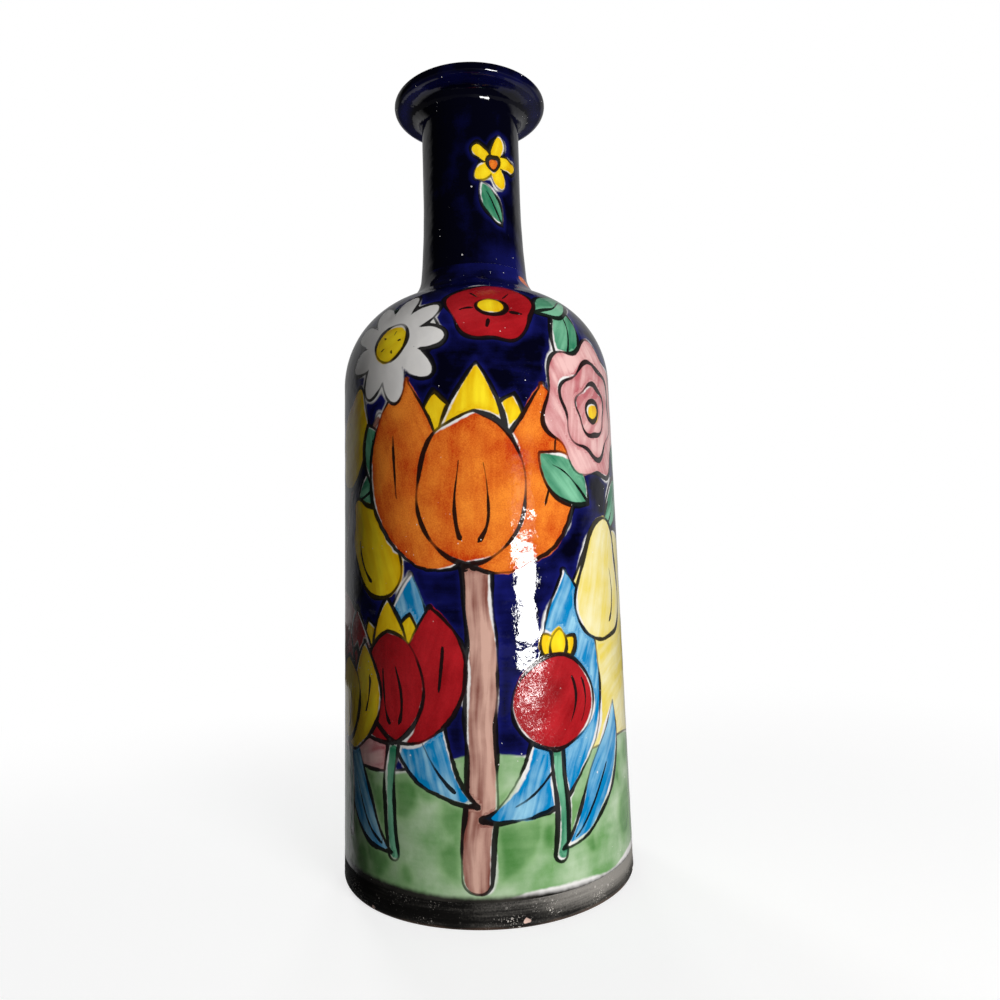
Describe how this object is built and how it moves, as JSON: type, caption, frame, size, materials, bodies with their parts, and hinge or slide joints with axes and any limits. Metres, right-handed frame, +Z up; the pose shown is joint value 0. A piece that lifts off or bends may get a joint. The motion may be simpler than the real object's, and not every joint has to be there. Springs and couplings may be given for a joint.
{
  "type": "bottle vase",
  "caption": "Tall bottle vase in painted glazed earthenware: tapering round body, domed shoulder, slender neck and flared lip, standing on a dark unglazed foot band.",
  "frame": {"origin": "centre of the ring that the vase stands on", "axes": "+Z up along the axis of the vase; -Y towards the side that the picture shows"},
  "size_m": [0.11, 0.11, 0.3],
  "materials": {
    "base_disc": "bare fired clay",
    "foot_band": "matt dark slip, unglazed",
    "clay": "biscuit-fired clay under the glaze",
    "inner_glaze": "glossy white lining glaze",
    "body_glaze": "glossy glaze with a brushed design in many colours",
    "neck_glaze": "glossy cobalt glaze"
  },
  "bodies": {
    "root": {"base_disc": "base_disc", "foot_band": "foot_band", "body_wall": "clay", "shoulder_dome": "clay", "neck_tube": "clay", "lip_ring": "clay", "inner_glaze": "inner_glaze", "body_glaze": "body_glaze", "neck_glaze": "neck_glaze"}
  },
  "joints": []
}
